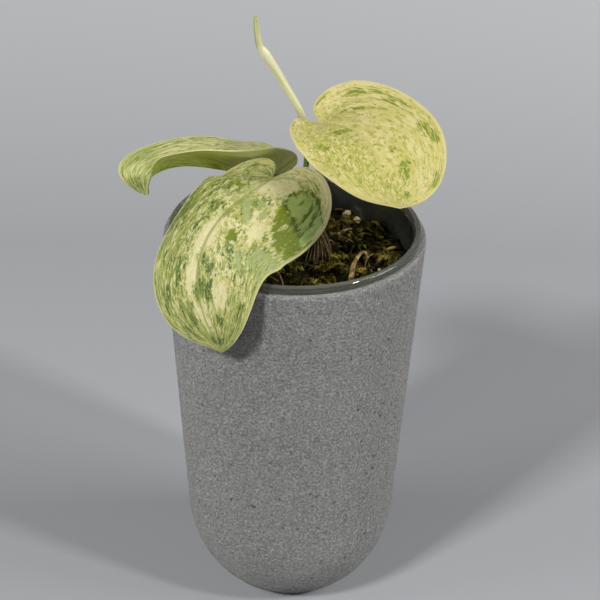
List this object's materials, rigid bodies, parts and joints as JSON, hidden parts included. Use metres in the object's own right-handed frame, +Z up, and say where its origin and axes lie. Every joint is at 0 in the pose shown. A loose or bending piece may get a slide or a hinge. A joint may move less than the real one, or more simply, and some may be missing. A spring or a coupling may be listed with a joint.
{
  "type": "potted plant",
  "caption": "Young vining scindapsus with marbled cream and green leaves, in a clear grow pot that hangs in a tall rough grey cover pot.",
  "frame": {"origin": "centre of the flat foot of the cover pot", "axes": "+Z up along the axis of the pots; -Y is the side that faces the viewer; +X is the viewer's right"},
  "size_m": [0.1527, 0.1324, 0.3015],
  "materials": {
    "cast_cement": "rough, pitted, unglazed",
    "clear_plastic": "clear, moulded",
    "bark_mix": "loose, damp, matte",
    "stem_bark": "fibrous, matte",
    "green_stalk": "smooth, waxy",
    "marbled_leaf": "satin, waxy",
    "cream_leaf": "satin, waxy",
    "young_leaf": "satin, waxy"
  },
  "bodies": {
    "root": {"cover_pot": "cast_cement", "grow_pot": "clear_plastic", "potting_mix": "bark_mix", "stem": "stem_bark", "petiole_front": "green_stalk", "petiole_left": "green_stalk", "petiole_right": "green_stalk", "leaf_front": "marbled_leaf", "leaf_left": "marbled_leaf", "leaf_right": "cream_leaf", "new_leaf": "young_leaf"}
  },
  "joints": []
}
